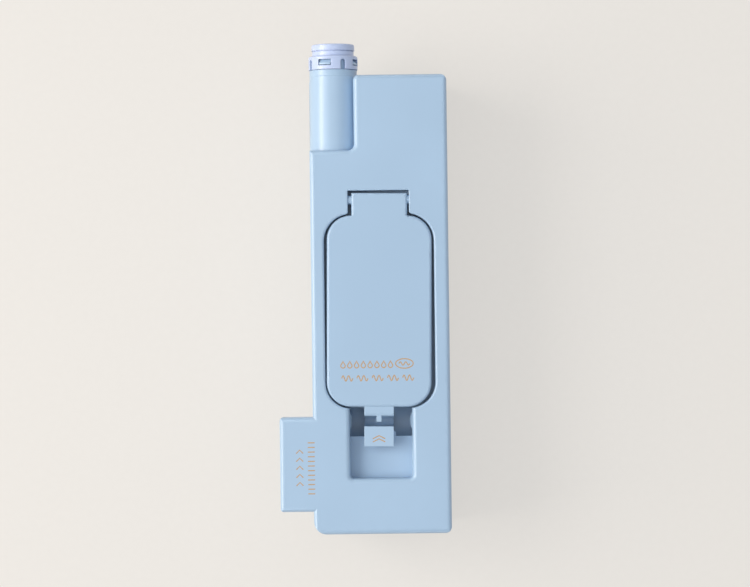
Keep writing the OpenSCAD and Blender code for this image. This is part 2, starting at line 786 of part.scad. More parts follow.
// Side view of the latch: strap, loop, thumb tab and catch nib, in Y and Z
module latch_section() {
    strap_z = body_h - strap_drop;
    thumb_z = body_h - thumb_drop;
    bend = strap_bend;
    nib_z = well_z - ledge_t - nib_drop;
    nib_y = step_y + catch_l + nib_gap;
    translate([leg_y1 + bend - latch_t, strap_z - latch_t])
        square([lid_y0 + strap_lap - leg_y1 - bend + latch_t, latch_t]);
    difference() {
        translate([leg_y1 + bend - latch_t, strap_z - bend]) circle(bend);
        translate([leg_y1 + bend - latch_t, strap_z - bend]) circle(bend - latch_t);
        translate([leg_y1 + bend - latch_t, strap_z - 2 * bend - eps]) square(4 * bend);
        translate([leg_y1 - 2 * bend, strap_z - 3 * bend]) square([4 * bend, 2 * bend]);
    }
    translate([leg_y1 - latch_t, loop_z]) square([latch_t, strap_z - bend - loop_z]);
    difference() {
        translate([loop_y, loop_z]) circle(loop_out);
        translate([loop_y, loop_z]) circle(loop_out - latch_t);
        translate([loop_y - 2 * loop_out, loop_z]) square([4 * loop_out, 2 * loop_out]);
    }
    translate([leg_y0, loop_z]) square([latch_t, thumb_z - loop_z]);
    translate([thumb_y0, thumb_z - latch_t]) square([leg_y0 + eps - thumb_y0, latch_t]);
    polygon([
        [leg_y0 + eps, nib_z], [nib_y, nib_z], [nib_y, nib_z - nib_face], [leg_y0, nib_z - nib_h],
        [leg_y0 + eps, nib_z - nib_h]
    ]);
}

module fill_lid() {
    inner = collar_t / 2 - gasket_w / 2 - channel_gap;
    outer = collar_t / 2 + gasket_w / 2 + channel_gap;
    color(part_blue) lid_place() {
        difference() {
            union() {
                along_z(lid_z, body_h) lid_plate();
                along_x(-hinge_w / 2, hinge_w / 2) hinge_section();
            }
            lid_edge_cut();
        }
        along_z(lid_z - lid_rim_d, lid_z) difference() {
            lid_plate();
            lid_plate(-lid_rim_t);
        }
        along_z(lid_z - channel_d, lid_z) {
            difference() {
                mouth_outline(inner);
                mouth_outline(inner - channel_t);
            }
            difference() {
                mouth_outline(outer + channel_t);
                mouth_outline(outer);
            }
        }
        along_x(-latch_w / 2, latch_w / 2) latch_section();
        translate([-stop_w / 2, leg_y1 - latch_t - stop_l, body_h - strap_drop - stop_foot])
            cube([stop_w, stop_l + eps, stop_h]);
    }
    color(part_blue) hinge_axis(lid_x) {
        cylinder(r = hinge_r, h = 2 * hinge_stub_end, center = true);
        cylinder(r = barrel_r, h = hinge_w - 2 * barrel_in, center = true);
    }
}

// The lid's plate without its hinge tab
module lid_plate(grow = 0) {
    x = lid_w / 2 + grow;
    r = lid_r + grow;
    round_rect(-x, x, lid_y0 - grow, lid_y1 + grow, [r, r, r, r]);
}

// Side view of the hinge tab, in Y and Z
module hinge_section() {
    round_rect(lid_y1 - lid_r, hinge_y1, lid_z, body_h, [0, 0, rear_r, 0]);
}

module lid_gasket() {
    mid = collar_t / 2;
    color(part_rubber) lid_place() along_z(collar_z + gasket_gap, lid_z) difference() {
        mouth_outline(mid + gasket_w / 2);
        mouth_outline(mid - gasket_w / 2);
    }
}

module valve_cap() {
    waist_r = spigot_r - waist_step;
    groove_v = spigot_v + groove_out - groove_w / 2;
    color(part_lavender) on_valve_axis() difference() {
        rotate_extrude() polygon([
            [passage_r, seat_v], [plug_r, seat_v], [plug_r, cap_web_v], [skirt_r - skirt_t, cap_web_v],
            [skirt_r - skirt_t, skirt_v], [skirt_r, skirt_v], [skirt_r, spigot_v - skirt_chamfer_l],
            [skirt_r - skirt_chamfer, spigot_v], [waist_r, spigot_v], [waist_r, groove_v],
            [waist_r - groove_d, groove_v], [waist_r - groove_d, groove_v + groove_w],
            [spigot_r, groove_v + groove_w], [spigot_r, cap_end_v - spigot_chamfer],
            [spigot_r - spigot_chamfer, cap_end_v], [socket_r, cap_end_v], [socket_r, socket_v],
            [passage_r, socket_v]
        ]);
        at_fingers(180 / finger_n) {
            translate([mouth_r_out, -slot_w / 2, skirt_v - eps])
                cube([skirt_r, slot_w, slot_l - slot_w / 2 + eps]);
            translate([mouth_r_out, 0, skirt_v + slot_l - slot_w / 2]) rotate([0, 90, 0])
                cylinder(r = slot_w / 2, h = skirt_r);
        }
        at_fingers() translate([mouth_r_out, -window_w / 2, window_v()]) cube([skirt_r, window_w, window_h]);
    }
}

module cap_seal() {
    color(part_rubber) on_valve_axis() valve_ring(mouth_v, cap_web_v, mouth_r_out - seal_inset, chamber_r);
}

module valve_poppet() {
    boss_v = seat_v + 0.3;
    nose_v = seat_v + 0.9;
    tip_v = socket_v - nose_gap;
    tip_chamfer = 0.7;
    color(part_white) on_valve_axis() rotate_extrude() polygon([
        [0, guide_v - eps], [stem_r - stem_chamfer, guide_v - eps], [stem_r, guide_v], [stem_r, head_v - head_t],
        [poppet_r, head_v - head_t], [poppet_r, head_v], [boss_r, head_v], [boss_r, boss_v], [nose_r, nose_v],
        [nose_r, tip_v - tip_chamfer], [stem_r - stem_chamfer, tip_v], [0, tip_v]
    ]);
}

module poppet_seal() {
    color(part_rubber) on_valve_axis()
        valve_ring(head_v, head_v + poppet_seal_t, poppet_r - seat_gap, boss_r + seal_stretch);
}

// Height along a spring whose end turns lie closed, for a share t of its length
function spring_rise(t, low, high, closed) =
    let (turn = t * spring_turns, free = spring_turns - 2)
    turn < 1 ? low + closed * turn :
    turn > spring_turns - 1 ? high - closed * (spring_turns - turn) :
    low + closed + (turn - 1) / free * (high - low - 2 * closed);

module valve_spring() {
    sides = 10;
    steps = 24;
    coil_r = poppet_r - spring_in;
    low = chamber_v + spring_wire_r;
    high = head_v - head_t - spring_wire_r - spring_rest;
    closed = 2 * spring_wire_r + spring_rest;
    rings = round(steps * spring_turns);
    points = [
        for (i = [0:rings]) let (a = 360 * i / steps, z = spring_rise(i / rings, low, high, closed))
            for (j = [0:sides - 1]) let (b = 360 * j / sides, r = coil_r + spring_wire_r * cos(b))
                [r * cos(a), r * sin(a), z + spring_wire_r * sin(b)]
    ];
    side_faces = [
        for (i = [0:rings - 1]) for (j = [0:sides - 1]) let (k = (j + 1) % sides)
            [i * sides + j, i * sides + k, (i + 1) * sides + k, (i + 1) * sides + j]
    ];
    start = [for (j = [0:sides - 1]) sides - 1 - j];
    end = [for (j = [0:sides - 1]) rings * sides + j];
    color(part_steel) on_valve_axis() polyhedron(points, concat([start], side_faces, [end]));
}

module pickup_elbow() {
    plug_out = elbow_socket_r - elbow_fit;
    body_v = -pickup_in - elbow_r;
    color(part_white) difference() {
        union() {
            on_valve_axis() {
                translate([0, 0, -neck_depth - eps])
                    cylinder(r = plug_out, h = guide_v - elbow_end_gap + neck_depth + eps);
                translate([0, 0, -neck_depth - elbow_flange_t])
                    cylinder(r = elbow_flange_r, h = elbow_flange_t);
                translate([0, 0, body_v]) cylinder(r = elbow_r, h = -neck_depth - body_v - eps);
            }
            translate([neck_x, pickup_y, barb_end_z]) cylinder(r = barb_r, h = neck_z - barb_end_z);
            translate([neck_x, pickup_y, tube_top_z + tube_stop_gap])
                cylinder(r = barb_r + collar_step, h = neck_z - tube_top_z - tube_stop_gap);
        }
        on_valve_axis() {
            translate([0, 0, body_v + elbow_wall]) cylinder(r = elbow_bore_r, h = guide_v - body_v);
            translate([0, 0, oring_v - oring_r - oring_groove_gap]) difference() {
                cylinder(r = plug_out + eps, h = 2 * (oring_r + oring_groove_gap));
                cylinder(r = plug_out - 2 * oring_r, h = 2 * (oring_r + oring_groove_gap));
            }
        }
        translate([neck_x, pickup_y, barb_end_z - eps])
            cylinder(r = barb_bore_r, h = neck_z - barb_end_z + eps);
    }
}

module elbow_seal() {
    ring = elbow_socket_r - elbow_fit - oring_r + oring_squeeze;
    color(part_rubber) on_valve_axis() translate([0, 0, oring_v]) rotate_extrude()
        translate([ring, 0]) circle(oring_r - oring_squeeze / 3);
}

module pickup_tube() {
    color(part_white) along_z(tube_foot_z, tube_top_z) translate([neck_x, pickup_y]) difference() {
        circle(tube_r);
        circle(tube_r - tube_t);
    }
}

module pickup_strainer() {
    skin = 1.2;
    slot_h = 4;
    slot_clear = 0.6;
    color(part_white) translate([neck_x, pickup_y, floor_t]) difference() {
        cylinder(r = strainer_r, h = strainer_h);
        translate([0, 0, skin]) cylinder(r = strainer_r - skin, h = slot_h);
        translate([0, 0, skin]) cylinder(r = tube_r + tube_grip, h = strainer_h);
        for (i = [0:strainer_n - 1]) {
            rotate([0, 0, i * 360 / strainer_n]) translate([0, -strainer_slot / 2, skin])
                cube([2 * strainer_r, strainer_slot, slot_h - slot_clear]);
        }
    }
}

module vent_valve() {
    floor_z = recess_z - recess_t;
    umbrella_t = 0.8;
    umbrella_gap = 0.3;
    hub_r = vent_hole_r + 0.4;
    hub_h = 0.7;
    stem_gap = 0.1;
    bead_r = vent_hole_r + 0.6;
    bead_tip_r = vent_hole_r - 0.3;
    bead_h = 2;
    bead_gap = 0.05;
    color(part_rubber) translate([opening_x, vent_y, 0]) {
        translate([0, 0, floor_z - umbrella_gap - umbrella_t]) cylinder(r = vent_r, h = umbrella_t);
        translate([0, 0, floor_z - hub_h]) cylinder(r = hub_r, h = hub_h);
        translate([0, 0, floor_z - eps])
            cylinder(r = vent_hole_r - stem_gap, h = recess_t + bead_gap + 2 * eps);
        translate([0, 0, recess_z + bead_gap]) cylinder(r1 = bead_r, r2 = bead_tip_r, h = bead_h);
    }
}

tank();
top_cover();
fill_lid();
lid_gasket();
valve_cap();
cap_seal();
valve_poppet();
poppet_seal();
valve_spring();
pickup_elbow();
elbow_seal();
pickup_tube();
pickup_strainer();
vent_valve();
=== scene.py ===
"""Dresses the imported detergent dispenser: shells, finishes, printed marks, floor, lamps and camera."""

import math

import bmesh
import bpy
from bpy.props import FloatProperty, FloatVectorProperty, PointerProperty
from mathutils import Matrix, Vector
from mathutils.geometry import delaunay_2d_cdt


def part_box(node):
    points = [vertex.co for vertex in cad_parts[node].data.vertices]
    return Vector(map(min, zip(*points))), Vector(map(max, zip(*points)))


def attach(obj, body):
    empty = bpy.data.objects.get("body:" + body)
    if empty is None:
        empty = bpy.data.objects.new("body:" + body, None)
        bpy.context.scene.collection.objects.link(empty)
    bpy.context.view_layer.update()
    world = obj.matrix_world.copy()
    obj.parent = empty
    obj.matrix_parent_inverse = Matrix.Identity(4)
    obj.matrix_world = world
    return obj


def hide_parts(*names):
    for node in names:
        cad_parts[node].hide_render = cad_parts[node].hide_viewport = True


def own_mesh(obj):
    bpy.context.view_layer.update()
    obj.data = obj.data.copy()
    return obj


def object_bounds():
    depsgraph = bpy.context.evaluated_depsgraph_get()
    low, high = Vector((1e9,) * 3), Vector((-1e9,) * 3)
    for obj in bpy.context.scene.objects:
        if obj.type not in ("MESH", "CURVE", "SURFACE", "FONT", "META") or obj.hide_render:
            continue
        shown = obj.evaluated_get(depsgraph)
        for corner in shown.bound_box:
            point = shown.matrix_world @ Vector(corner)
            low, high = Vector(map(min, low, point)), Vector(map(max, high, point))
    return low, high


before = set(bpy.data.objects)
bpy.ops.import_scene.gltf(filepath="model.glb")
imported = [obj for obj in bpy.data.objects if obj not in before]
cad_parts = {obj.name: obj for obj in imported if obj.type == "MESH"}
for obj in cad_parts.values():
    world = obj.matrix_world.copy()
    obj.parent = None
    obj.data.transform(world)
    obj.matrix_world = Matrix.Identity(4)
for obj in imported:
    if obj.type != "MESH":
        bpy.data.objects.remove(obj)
CAD_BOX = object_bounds()

bl_info = {
    "name": "Detergent Dispenser",
    "version": (1, 0, 0),
    "blender": (4, 5, 0),
    "location": "3D View > Sidebar > Dispenser",
    "description": "Builds the looks of a liquid-detergent dispenser around its construction model",
    "category": "Object",
}

MM = 0.001
# Loose corners closer than this are one point.
WELD = 0.001 * MM
# A face lies at a height if its corners are within this of it, and is level if its normal points this far up.
TOUCH = 0.01 * MM
LEVEL = 0.9999
# Points of the printed outlines that are closer than this, in millimetres, are one point.
CUT_TOLERANCE = 1e-4
# The top of the thumb tab.
THUMB_TOP = 64.8 * MM
# Roughness of the outer and the inner mouldings. Below about 0.28 the picture's noise filter leaves contours.
SATIN = 0.3
MATT = 0.42
# A closed end turn of the spring rises by this many wire radii, and each turn has this many straight steps.
END_RISE = 2.1
STEPS_PER_TURN = 32
COIL_CREASE = math.radians(50)
# The stage.
LAMP_TARGET = Vector((0, 0, 50 * MM))
FLOOR_REACH = 4.0
FLOOR_DROP = 0.1 * MM
SKY = (0.9, 0.95, 1.0, 1.0)


def add_node(tree, kind, inputs=(), **options):
    """Adds a node to a shader or geometry tree, sets its options, and links or fills its inputs."""
    made = tree.nodes.new(kind)
    for key, value in options.items():
        setattr(made, key, value)
    for key, value in dict(inputs).items():
        if isinstance(value, bpy.types.NodeSocket):
            tree.links.new(value, made.inputs[key])
        else:
            made.inputs[key].default_value = value
    return made


def maths(tree, operation, first, second=0.0):
    """One sum in a node tree: a socket or number with another."""
    return add_node(tree, "ShaderNodeMath", {0: first, 1: second}, operation=operation).outputs[0]


def blend_colour(tree, share, low, high):
    """Mixes two colours by a socket. The Mix node's colours are sockets 6 and 7, and its result output 2."""
    made = add_node(tree, "ShaderNodeMix", {0: share, 6: low, 7: high}, data_type="RGBA")
    return made.outputs[2]


def noise(tree, place, size, detail=2.0, roughness=0.5):
    """Noise whose features are about size metres across."""
    inputs = {"Vector": place, "Scale": 1 / size, "Detail": detail, "Roughness": roughness}
    return add_node(tree, "ShaderNodeTexNoise", inputs).outputs["Fac"]


def spread(tree, value, low, high):
    """Maps noise, which lies mostly between 0.25 and 0.75, to a range, with no corner at either end."""
    inputs = {"Value": value, "From Min": 0.25, "From Max": 0.75, "To Min": low, "To Max": high}
    return add_node(tree, "ShaderNodeMapRange", inputs, interpolation_type="SMOOTHSTEP").outputs[0]


def tint(colour, share):
    """A colour made lighter or darker by a share, as a shader colour."""
    return (*(min(1.0, c * share) for c in colour), 1.0)


def new_material(name):
    """A node material with its shader and output linked: (material, tree, shader)."""
    material = bpy.data.materials.new(name)
    material.use_nodes = True
    tree = material.node_tree
    tree.nodes.clear()
    shader = add_node(tree, "ShaderNodeBsdfPrincipled")
    add_node(tree, "ShaderNodeOutputMaterial", {"Surface": shader.outputs[0]})
    return material, tree, shader


def roughen(tree, shader, height, strength, depth, normal=None):
    """Gives a shader the bumps of a height, on top of a normal if there is one."""
    inputs = {"Height": height, "Strength": strength, "Distance": depth}
    if normal:
        inputs["Normal"] = normal
    tree.links.new(add_node(tree, "ShaderNodeBump", inputs).outputs[0], shader.inputs["Normal"])


def moulded_plastic(name, colour, roughness, finish):
    """Moulded plastic: a slow drift from the melt's flow, a fine eroded grain, and paler rubbed edges."""
    material, tree, shader = new_material(name)
    place = add_node(tree, "ShaderNodeTexCoord").outputs["Object"]
    flow = noise(tree, place, finish.flow_size, detail=1.0)
    mottle = noise(tree, place, finish.mottle_size)
    grain = noise(tree, place, finish.grain_size, roughness=0.6)
    soft = add_node(tree, "ShaderNodeBevel", {"Radius": finish.edge_softness}, samples=6).outputs[0]
    flat = add_node(tree, "ShaderNodeNewGeometry").outputs["Normal"]
    facing = add_node(tree, "ShaderNodeVectorMath", {0: soft, 1: flat}, operation="DOT_PRODUCT")
    edge_inputs = {"Value": facing.outputs["Value"], "From Min": 0.99, "From Max": 0.75}
    edge_inputs |= {"To Min": 0.0, "To Max": finish.edge_rub}
    edge = add_node(tree, "ShaderNodeMapRange", edge_inputs).outputs[0]
    deep, pale, rubbed = tint(colour, 0.97), tint(colour, 1.02), tint(colour, 1.25)
    drifted = blend_colour(tree, spread(tree, flow, 0.0, 1.0), deep, pale)
    mottled = blend_colour(tree, spread(tree, mottle, 0.0, 0.25), drifted, deep)
    shade = blend_colour(tree, edge, mottled, rubbed)
    tree.links.new(shade, shader.inputs["Base Color"])
    drift = 0.01
    sheen = spread(tree, flow, roughness - drift, roughness + drift)
    tree.links.new(sheen, shader.inputs["Roughness"])
    shader.inputs["Specular IOR Level"].default_value = finish.gloss
    swell = maths(tree, "MULTIPLY", mottle, 0.3)
    height = maths(tree, "ADD", grain, swell)
    roughen(tree, shader, height, strength=0.12, depth=finish.grain_depth, normal=soft)
    return material


def rubber(name, colour, finish):
    """Matt elastomer with a dusty bloom."""
    material, tree, shader = new_material(name)
    place = add_node(tree, "ShaderNodeTexCoord").outputs["Object"]
    bloom = noise(tree, place, 2.2 * MM, detail=3.0, roughness=0.6)
    pore = noise(tree, place, 0.2 * MM)
    bloomed = blend_colour(tree, spread(tree, bloom, 0.0, 0.5), tint(colour, 0.9), tint(colour, 1.6))
    tree.links.new(bloomed, shader.inputs["Base Color"])
    tree.links.new(spread(tree, bloom, 0.62, 0.8), shader.inputs["Roughness"])
    roughen(tree, shader, pore, strength=0.4, depth=finish.grain_depth)
    return material


def drawn_wire(name, colour):
    """Drawn stainless wire with fine die lines."""
    material, tree, shader = new_material(name)
    place = add_node(tree, "ShaderNodeTexCoord").outputs["Object"]
    lines = noise(tree, place, 0.12 * MM, detail=3.0, roughness=0.7)
    shade = blend_colour(tree, spread(tree, lines, 0.0, 1.0), tint(colour, 0.9), tint(colour, 1.1))
    tree.links.new(shade, shader.inputs["Base Color"])
    tree.links.new(spread(tree, lines, 0.24, 0.38), shader.inputs["Roughness"])
    roughen(tree, shader, lines, strength=0.2, depth=0.01 * MM)
    shader.inputs["Metallic"].default_value = 1.0
    return material


def pad_ink(name, colour):
    """Gold-tan pad-printing ink, a little thin and patchy where the pad let go."""
    material, tree, shader = new_material(name)
    place = add_node(tree, "ShaderNodeTexCoord").outputs["Object"]
    patch = noise(tree, place, 0.5 * MM, detail=3.0, roughness=0.65)
    worn = blend_colour(tree, spread(tree, patch, 0.0, 1.0), tint(colour, 0.9), tint(colour, 1.12))
    tree.links.new(worn, shader.inputs["Base Color"])
    tree.links.new(spread(tree, patch, 0.42, 0.58), shader.inputs["Roughness"])
    roughen(tree, shader, patch, strength=0.2, depth=0.01 * MM)
    return material


def finishes(context):
    """The dispenser's materials by slot name, made once."""
    finish = context.scene.dispenser_finish
    makers = {
        "blue_plastic": lambda name: moulded_plastic(name, finish.blue, SATIN, finish),
        "lavender_plastic": lambda name: moulded_plastic(name, finish.lavender, SATIN, finish),
        "white_plastic": lambda name: moulded_plastic(name, finish.white, MATT, finish),
        "grey_rubber": lambda name: rubber(name, finish.rubber, finish),
        "spring_steel": lambda name: drawn_wire(name, finish.steel),
        "print_ink": lambda name: pad_ink(name, finish.ink),
    }
    made = {}
    for slot, make in makers.items():
        name = slot + "_finish"
        made[slot] = bpy.data.materials.get(name) or make(name)
    return made


def settle(piece):
    """Turns a piece and its modifiers into a plain mesh."""
    graph = bpy.context.evaluated_depsgraph_get()
    plain = bpy.data.meshes.new_from_object(piece.evaluated_get(graph), depsgraph=graph)
    old = piece.data
    piece.modifiers.clear()
    piece.data = plain
    plain.name = piece.name
    bpy.data.meshes.remove(old)
    return piece


def place_piece(mesh, name):
    """An object for a mesh whose points already lie in the frame."""
    piece = bpy.data.objects.new(name, mesh)
    bpy.context.scene.collection.objects.link(piece)
    return piece


def welded_copy(node, name):
    """A CAD node's mesh with its loose triangles joined, as a piece of its own."""
    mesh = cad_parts[node].data.copy()
    mesh.materials.clear()
    work = bmesh.new()
    work.from_mesh(mesh)
    bmesh.ops.remove_doubles(work, verts=work.verts, dist=WELD)
    work.to_mesh(mesh)
    work.free()
    return place_piece(mesh, name)


def smooth(piece, crease):
    """Shades a piece smooth, keeps the creases sharp, and lets its flat faces hold their normals."""
    work = bmesh.new()
    work.from_mesh(piece.data)
    for face in work.faces:
        face.smooth = True
    for edge in work.edges:
        edge.smooth = len(edge.link_faces) == 2 and edge.calc_face_angle(0) < crease
    work.to_mesh(piece.data)
    work.free()
    modifier = piece.modifiers.new("normals", "WEIGHTED_NORMAL")
    modifier.mode = "FACE_AREA"
    modifier.keep_sharp = True
    return settle(piece)


def is_inside(outlines, x, y):
    """True where a point lies inside closed outlines given as pairs of points."""
    inside = False
    for a, b in outlines:
        if (a[1] > y) != (b[1] > y) and x < a[0] + (y - a[1]) / (b[1] - a[1]) * (b[0] - a[0]):
            inside = not inside
    return inside


def border(mesh):
    """The border edges of a flat mesh, as pairs of points in millimetres."""
    work = bmesh.new()
    work.from_mesh(mesh)
    pairs = [[(v.co.x / MM, v.co.y / MM) for v in e.verts] for e in work.edges if e.is_boundary]
    work.free()
    return pairs


def imprint(piece, height, outlines, ink):
    """Cuts closed outlines into a piece's level face and fills the inside of each with ink."""
    materials = piece.data.materials
    if ink.name not in materials:
        materials.append(ink)
    inked = materials.find(ink.name)
    work = bmesh.new()
    work.from_mesh(piece.data)
    level = {
        face for face in work.faces
        if face.normal.z > LEVEL and all(abs(v.co.z - height) < TOUCH for v in face.verts)
    }
    rim = [edge for edge in work.edges if sum(face in level for face in edge.link_faces) == 1]
    held = list({v for edge in rim for v in edge.verts})
    number = {v: i for i, v in enumerate(held)}
    points = [(v.co.x / MM, v.co.y / MM) for v in held]
    lines = [[number[v] for v in edge.verts] for edge in rim]
    region = [[points[i] for i in line] for line in lines]
    for a, b in outlines:
        lines.append([len(points), len(points) + 1])
        points += [a, b]
    corners = [Vector(point) for point in points]
    spots, _, faces, sources, _, _ = delaunay_2d_cdt(corners, lines, [], 0, CUT_TOLERANCE)
    bmesh.ops.delete(work, geom=list(level), context="FACES_ONLY")
    made = {}
    for i, source in enumerate(sources):
        old = [s for s in source if s < len(held)]
        made[i] = held[old[0]] if old else None
    for face in faces:
        x = sum(spots[i].x for i in face) / len(face)
        y = sum(spots[i].y for i in face) / len(face)
        if not is_inside(region, x, y):
            continue
        for i in face:
            if made[i] is None:
                made[i] = work.verts.new((spots[i].x * MM, spots[i].y * MM, height))
        new = work.faces.new([made[i] for i in face])
        new.material_index = inked if is_inside(outlines, x, y) else 0
    loose = [edge for edge in work.edges if not edge.link_faces]
    bmesh.ops.delete(work, geom=loose, context="EDGES")
    bmesh.ops.delete(work, geom=[v for v in work.verts if not v.link_edges], context="VERTS")
    work.normal_update()
    work.to_mesh(piece.data)
    work.free()


def flat_mesh(name, points, faces):
    """A flat mesh from points in millimetres."""
    mesh = bpy.data.meshes.new(name)
    mesh.from_pydata([(x * MM, y * MM, 0) for x, y in points], [], faces)
    return mesh


def stroke_mesh(name, path, width, closed=False):
    """A flat band of even width along a path of points in millimetres."""
    count = len(path)
    half = width / 2
    sides = []
    for i, (x, y) in enumerate(path):
        before = path[i - 1] if i or closed else path[i]
        after = path[(i + 1) % count] if i < count - 1 or closed else path[i]
        along = Vector((after[0] - before[0], after[1] - before[1])).normalized()
        sides.append((x - along.y * half, y + along.x * half))
        sides.append((x + along.y * half, y - along.x * half))
    spans = range(count if closed else count - 1)
    faces = [(2 * i, 2 * i + 1, (2 * i + 3) % (2 * count), (2 * i + 2) % (2 * count)) for i in spans]
    return flat_mesh(name, sides, faces)


def drop_path(height):
    """Points round a drop of liquid: a round belly that runs up to a tip."""
    radius = height * 0.32
    shoulder_x, shoulder_y = radius * 0.35, height * 0.42
    start, sweep, steps = 155, 230, 16
    belly = [math.radians(start + sweep * i / steps) for i in range(steps + 1)]
    points = [(radius * math.cos(a), radius * math.sin(a)) for a in belly]
    return points + [(shoulder_x, shoulder_y), (0, height - radius), (-shoulder_x, shoulder_y)]


def wave_path(length, swing, waves):
    """Points along a wave."""
    steps = 12 * waves
    return [(length * i / steps, swing * math.sin(2 * math.pi * waves * i / steps)) for i in range(steps + 1)]


def oval_path(wide, high):
    """Points round an oval."""
    steps = 40
    turns = [2 * math.pi * i / steps for i in range(steps)]
    return [(wide / 2 * math.cos(a), high / 2 * math.sin(a)) for a in turns]


def start_tree(name, sockets):
    """A Geometry Nodes tree with named inputs, and those inputs."""
    tree = bpy.data.node_groups.new(name, "GeometryNodeTree")
    tree.interface.new_socket("Geometry", in_out="OUTPUT", socket_type="NodeSocketGeometry")
    for socket, kind in sockets.items():
        tree.interface.new_socket(socket, in_out="INPUT", socket_type="NodeSocket" + kind)
    return tree, add_node(tree, "NodeGroupInput").outputs


def end_tree(tree, geometry, material):
    """Ends a Geometry Nodes tree: what it made becomes real and takes a material."""
    real = add_node(tree, "GeometryNodeRealizeInstances", {0: geometry}).outputs[0]
    inputs = {"Geometry": real, "Material": material}
    dressed = add_node(tree, "GeometryNodeSetMaterial", inputs).outputs[0]
    add_node(tree, "NodeGroupOutput", {0: dressed})


def row_tree():
    """A node tree that repeats one mark along a row."""
    sockets = {"Mark": "Object", "Count": "Int", "First": "Vector", "Step": "Vector", "Material": "Material"}
    tree, given = start_tree("mark_row", sockets)
    line_inputs = {"Count": given["Count"], "Start Location": given["First"], "Offset": given["Step"]}
    line = add_node(tree, "GeometryNodeMeshLine", line_inputs).outputs[0]
    mark = add_node(tree, "GeometryNodeObjectInfo", {"Object": given["Mark"]}).outputs["Geometry"]
    row = add_node(tree, "GeometryNodeInstanceOnPoints", {"Points": line, "Instance": mark}).outputs[0]
    end_tree(tree, row, given["Material"])
    return tree


def run_tree(tree, name, values):
    """Runs a geometry tree with values for its named inputs and returns the plain mesh."""
    holder = place_piece(bpy.data.meshes.new(name), name)
    modifier = holder.modifiers.new(name, "NODES")
    modifier.node_group = tree
    for item in tree.interface.items_tree:
        if item.item_type == "SOCKET" and item.in_out == "INPUT" and item.name in values:
            modifier[item.identifier] = values[item.name]
    settle(holder)
    mesh = holder.data
    bpy.data.objects.remove(holder)
    return mesh


def mark_row(mark, count, first, step):
    """The outlines of a mark repeated along a row, whose first place and step are in millimetres."""
    tree = bpy.data.node_groups.get("mark_row") or row_tree()
    stamp = place_piece(mark, "stamp")
    values = {
        "Mark": stamp,
        "Count": count,
        "First": (first[0] * MM, first[1] * MM, 0.0),
        "Step": (step[0] * MM, step[1] * MM, 0.0),
    }
    row = run_tree(tree, "row", values)
    outlines = border(row)
    bpy.data.meshes.remove(row)
    bpy.data.objects.remove(stamp)
    bpy.data.meshes.remove(mark)
    return outlines


def lid_marks(marks):
    """The lid's print: a row of drops, an oval with a wave in it, and a row of waves below."""
    size, line = marks.height / MM, marks.stroke / MM
    drop = stroke_mesh("drop", drop_path(size), line, closed=True)
    oval = stroke_mesh("oval", oval_path(wide=7.4, high=4.0), line, closed=True)
    ripple = stroke_mesh("ripple", wave_path(length=4.6, swing=0.7, waves=2), line)
    wave = stroke_mesh("wave", wave_path(length=4.6, swing=size * 0.4, waves=2), line)
    return (
        mark_row(drop, count=8, first=(-16.0, -25.7), step=(2.85, 0))
        + mark_row(oval, count=1, first=(9.8, -25.0), step=(0, 0))
        + mark_row(ripple, count=1, first=(7.5, -25.0), step=(0, 0))
        + mark_row(wave, count=5, first=(-16.6, -31.0), step=(6.4, 0))
    )


def arrow_path(wide, high):
    """Points of an arrowhead that points along +Y."""
    return [(-wide / 2, 0), (0, high), (wide / 2, 0)]


def bar_path(size):
    """Points of a short bar across the row."""
    return [(-size / 2, 0), (size / 2, 0)]


def tab_marks(marks):
    """The lift tab's print: a row of arrowheads, and beside it a row of short bars."""
    size, line = marks.height / MM, marks.stroke / MM
    arrow = stroke_mesh("arrow", arrow_path(size, size / 2), line)
    bar = stroke_mesh("bar", bar_path(size), line)
    return (
        mark_row(arrow, count=5, first=(-34.7, -75.9), step=(0, 3.4))
        + mark_row(bar, count=12, first=(-29.8, -79.3), step=(0, 1.95))
    )


def thumb_marks(marks):
    """The thumb tab's print: two wide arrowheads, one over the other."""
    arrow = stroke_mesh("arrow", arrow_path(wide=5.2, high=1.3), marks.stroke / MM)
    return mark_row(arrow, count=2, first=(-1.25, -57.9), step=(0, 1.35))


